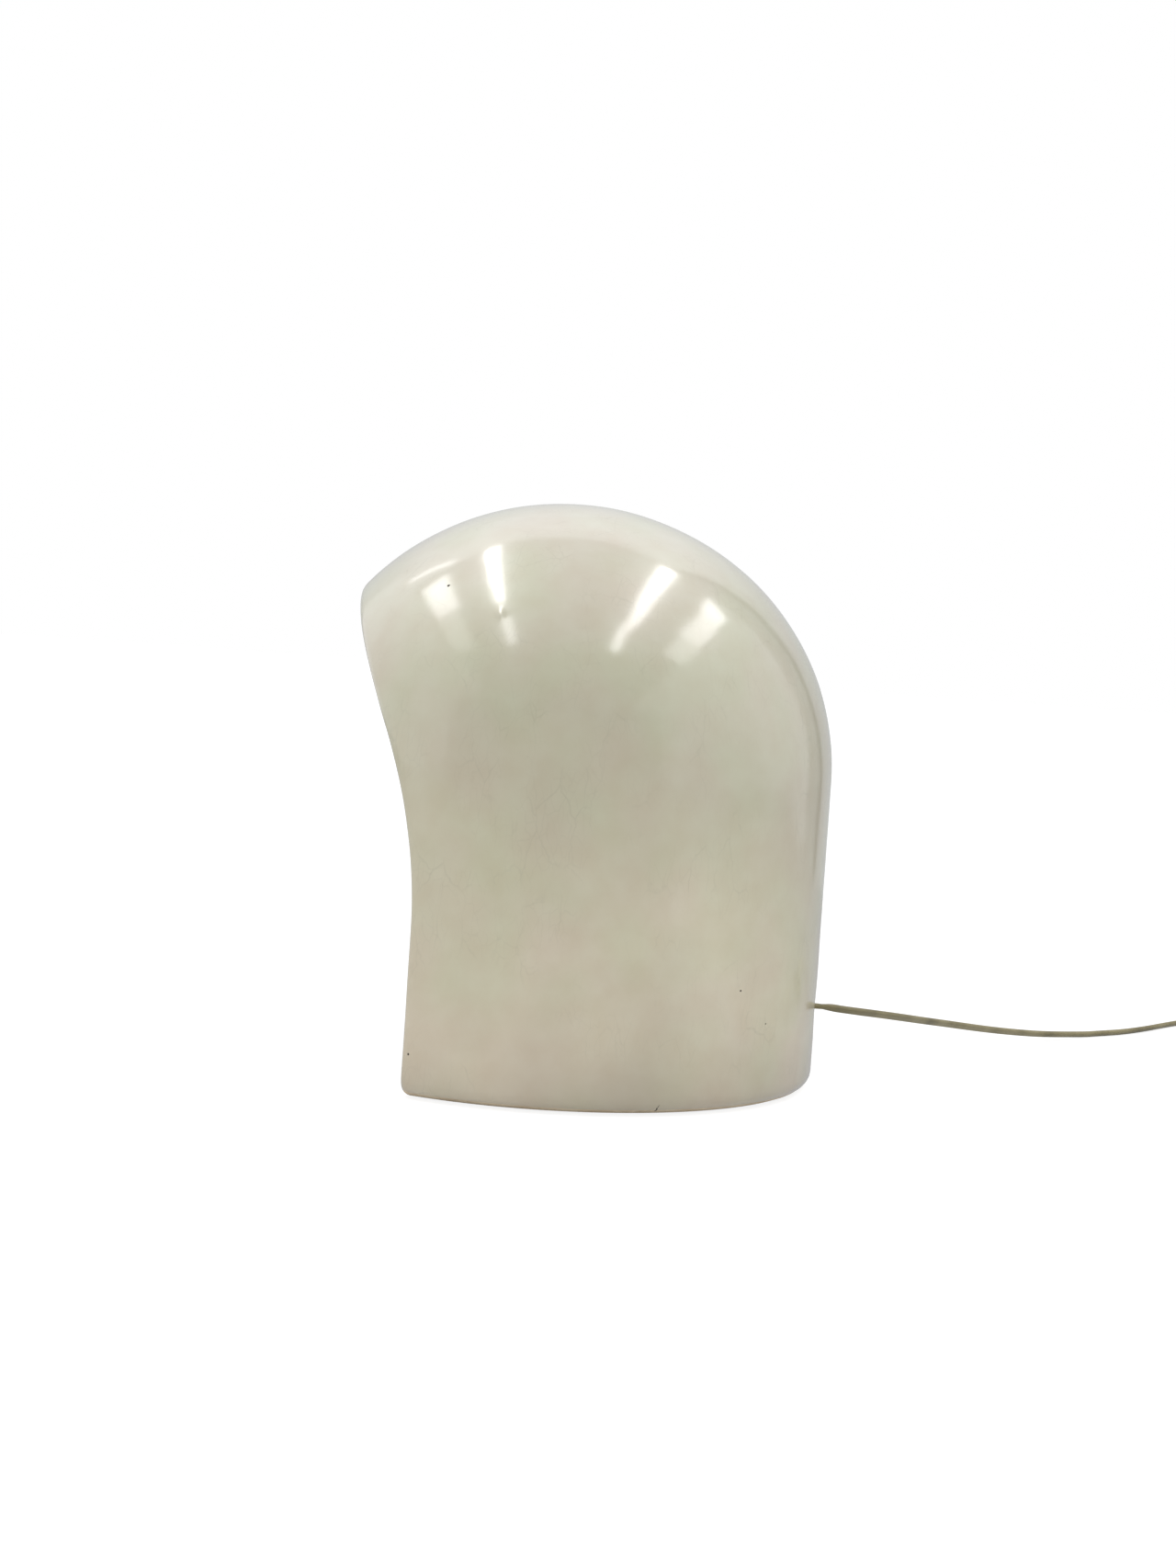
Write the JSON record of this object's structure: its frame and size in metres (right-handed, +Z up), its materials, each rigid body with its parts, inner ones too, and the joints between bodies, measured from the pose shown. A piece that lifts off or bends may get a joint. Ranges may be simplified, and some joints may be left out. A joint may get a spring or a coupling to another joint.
{
  "type": "television lamp",
  "caption": "Hooded table lamp: a glazed ceramic hood, round behind and open in front, over a bulb in a holder on a steel bridge, with flex, switch and plug.",
  "frame": {"origin": "on the supporting surface, under the middle of the box of the lamp without its flex", "axes": "+Z up, the hood's opening faces -Y, the flex leaves the back wall towards +Y, +X to the left seen from the front opening's inside and to the right seen with the opening towards the viewer"},
  "size_m": [0.5116, 0.5894, 0.3034],
  "materials": {
    "glaze": "glossy cream glaze with fine crackle",
    "felt": "matt felt",
    "zinc_steel": "zinc plated",
    "fibre": "matt vulcanised fibre",
    "brass": "stamped, dull",
    "nylon": "moulded",
    "bakelite": "moulded phenolic",
    "porcelain": "glazed",
    "core_brown": "extruded insulation",
    "core_blue": "extruded insulation",
    "flex_pvc": "satin flat twin flex, aged",
    "opal_glass": "pearl",
    "cap_brass": "nickelled",
    "black_glass": "opaque black",
    "solder": "tinned",
    "clear_glass": "clear",
    "tungsten": "drawn wire",
    "switch_plastic": "moulded, satin",
    "rocker_plastic": "moulded",
    "tie_pvc": "matt strap",
    "plug_pvc": "moulded, satin",
    "nickel_brass": "nickelled"
  },
  "bodies": {
    "lamp": {"hood": "glaze", "felt_pads": "felt", "bridge": "zinc_steel", "bridge_screws": "zinc_steel", "fibre_washers": "fibre", "bridge_nuts": "zinc_steel", "nipple": "brass", "nipple_locknut": "brass", "toothed_washer": "zinc_steel", "cord_grip": "nylon", "cord_grip_screw": "nylon", "holder_cap": "bakelite", "holder_skirt": "bakelite", "porcelain_insert": "porcelain", "screw_shell": "brass", "centre_contact": "brass", "terminals": "brass", "terminal_screws": "zinc_steel", "live_core": "core_brown", "neutral_core": "core_blue", "lead_inside": "flex_pvc", "flex_near": "flex_pvc", "switch_base": "switch_plastic", "switch_cover": "switch_plastic", "switch_spring": "brass", "switch_contacts": "brass", "switch_screws": "zinc_steel", "flex_to_coil": "flex_pvc", "flex_coil": "flex_pvc", "flex_tail": "flex_pvc", "coil_tie": "tie_pvc", "plug_body": "plug_pvc", "plug_pins": "nickel_brass", "pin_sleeves": "plug_pvc"},
    "bulb": {"bulb_glass": "opal_glass", "bulb_cap": "cap_brass", "bulb_insulator": "black_glass", "bulb_tip": "solder", "bulb_stem": "clear_glass", "bulb_supports": "tungsten", "bulb_filament": "tungsten"},
    "rocker": {"switch_rocker": "rocker_plastic"}
  },
  "joints": [
    {"name": "bulb_unscrew", "type": "slide", "parent": "lamp", "child": "bulb", "axis": [0, 0, 1], "range_m": [0, 0.026]},
    {"name": "rocker_press", "type": "hinge", "parent": "lamp", "child": "rocker", "pos_m": [-0.296, 0.449, 0.0128], "axis": [0.0698, 0.9976, 0], "range_deg": [-18, 0]}
  ]
}
